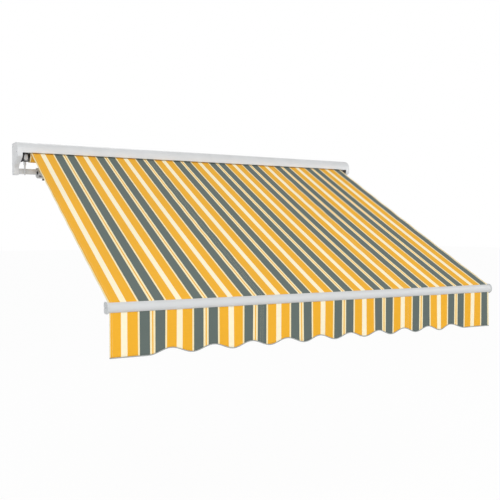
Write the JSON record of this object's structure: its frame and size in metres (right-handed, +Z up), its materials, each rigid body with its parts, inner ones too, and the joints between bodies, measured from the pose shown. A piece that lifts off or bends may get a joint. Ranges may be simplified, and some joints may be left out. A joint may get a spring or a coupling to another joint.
{
  "type": "retractable fabric awning",
  "caption": "Wall-mounted folding-arm awning: striped fabric unrolls from a hooded roller to a front bar with a wavy valance, wound by a crank gear.",
  "frame": {"origin": "centre of the middle wall bracket's face on the wall, level with the torsion bar's axis", "axes": "+X along the wall to the viewer's right when facing it, +Y into the wall, +Z up"},
  "size_m": [3.05, 1.9985, 1.3534],
  "materials": {
    "coated_metal": "satin white powder coat on extruded aluminium",
    "coated_steel": "light grey powder coat on steel tube",
    "cast_metal": "light grey coated casting",
    "zinc_steel": "zinc plated",
    "dark_steel": "black oxide",
    "black_plastic": "moulded, matt",
    "striped_fabric": "woven acrylic in orange, cream and grey-green stripes"
  },
  "bodies": {
    "root": {"torsion_bar": "coated_steel", "wall_bracket_left": "cast_metal", "wall_bracket_middle": "cast_metal", "wall_bracket_right": "cast_metal", "bracket_clamp_left": "zinc_steel", "bracket_clamp_middle": "zinc_steel", "bracket_clamp_right": "zinc_steel", "hood_bracket_left": "zinc_steel", "hood_bracket_middle": "zinc_steel", "hood_bracket_right": "zinc_steel", "hood": "coated_metal", "end_cap_left": "coated_metal", "end_cap_right": "coated_metal", "side_plate_left": "zinc_steel", "side_plate_right": "zinc_steel", "gear_mount": "black_plastic", "gear_case": "cast_metal", "idler_bracket": "black_plastic", "shoulder_bracket_left": "cast_metal", "shoulder_bracket_right": "cast_metal", "tilt_bolt_left": "dark_steel", "tilt_bolt_right": "dark_steel", "pitch_screw_left": "dark_steel", "pitch_screw_right": "dark_steel"},
    "crank": {"crank_eye": "cast_metal"},
    "roller": {"roller_tube": "zinc_steel", "fabric_roll": "striped_fabric", "roller_drive_plug": "black_plastic", "roller_idler_plug": "black_plastic"},
    "left_shoulder": {"shoulder_block_left": "cast_metal", "shoulder_pin_left": "zinc_steel", "canopy": "striped_fabric"},
    "left_upper_arm": {"shoulder_knuckle_left": "cast_metal", "upper_arm_tube_left": "coated_metal", "elbow_fork_left": "cast_metal", "elbow_pin_left": "zinc_steel"},
    "left_forearm": {"elbow_knuckle_left": "cast_metal", "forearm_tube_left": "coated_metal", "arm_spring_left": "zinc_steel", "wrist_knuckle_left": "cast_metal"},
    "front_bar": {"front_bar": "coated_metal", "bar_cap_left": "coated_metal", "bar_cap_right": "coated_metal", "wrist_bracket_left": "cast_metal", "wrist_bracket_right": "cast_metal", "wrist_pin_left": "zinc_steel", "wrist_pin_right": "zinc_steel", "valance": "striped_fabric"},
    "right_shoulder": {"shoulder_block_right": "cast_metal", "shoulder_pin_right": "zinc_steel"},
    "right_upper_arm": {"shoulder_knuckle_right": "cast_metal", "upper_arm_tube_right": "coated_metal", "elbow_fork_right": "cast_metal", "elbow_pin_right": "zinc_steel"},
    "right_forearm": {"elbow_knuckle_right": "cast_metal", "forearm_tube_right": "coated_metal", "arm_spring_right": "zinc_steel", "wrist_knuckle_right": "cast_metal"}
  },
  "joints": [
    {"name": "left_pitch", "type": "hinge", "parent": "root", "child": "left_shoulder", "pos_m": [-1.31, -0.092, -0.01], "axis": [1, 0, 0], "range_deg": [-6, 10]},
    {"name": "left_shoulder_fold", "type": "hinge", "parent": "left_shoulder", "child": "left_upper_arm", "pos_m": [-1.31, -0.14, -0.02], "axis": [0, -0.4357, 0.9001], "range_deg": [0, 75.8], "deforming": ["canopy"]},
    {"name": "left_elbow_fold", "type": "hinge", "parent": "left_upper_arm", "child": "left_forearm", "pos_m": [-1.10266, -1.018, -0.445], "axis": [0, -0.4357, 0.9001], "range_deg": [-151.8, 0]},
    {"name": "left_wrist_turn", "type": "hinge", "parent": "left_forearm", "child": "front_bar", "pos_m": [-1.31, -1.896, -0.87], "axis": [0, -0.4357, 0.9001], "range_deg": [0, 76]},
    {"name": "right_pitch", "type": "hinge", "parent": "root", "child": "right_shoulder", "pos_m": [1.31, -0.092, -0.01], "axis": [1, 0, 0], "range_deg": [-6, 10]},
    {"name": "right_shoulder_fold", "type": "hinge", "parent": "right_shoulder", "child": "right_upper_arm", "pos_m": [1.31, -0.14, -0.02], "axis": [0, -0.4357, 0.9001], "range_deg": [-76, 0]},
    {"name": "right_elbow_fold", "type": "hinge", "parent": "right_upper_arm", "child": "right_forearm", "pos_m": [1.10266, -1.018, -0.445], "axis": [0, -0.4357, 0.9001], "range_deg": [0, 151.8]},
    {"name": "roller_turn", "type": "hinge", "parent": "root", "child": "roller", "pos_m": [0, -0.108, 0.111], "axis": [1, 0, 0], "continuous": true},
    {"name": "crank_turn", "type": "hinge", "parent": "root", "child": "crank", "pos_m": [-1.459, -0.136, 0], "axis": [0, 0, 1], "continuous": true}
  ],
  "couplings": [
    {"joint": "right_pitch", "follows": "left_pitch", "ratio": 1},
    {"joint": "left_elbow_fold", "follows": "left_shoulder_fold", "ratio": -2},
    {"joint": "left_wrist_turn", "follows": "left_shoulder_fold", "ratio": 1},
    {"joint": "right_shoulder_fold", "follows": "left_shoulder_fold", "ratio": -1},
    {"joint": "right_elbow_fold", "follows": "left_shoulder_fold", "ratio": 2},
    {"joint": "roller_turn", "follows": "left_shoulder_fold", "ratio": -28.9},
    {"joint": "crank_turn", "follows": "left_shoulder_fold", "ratio": 202.3}
  ]
}
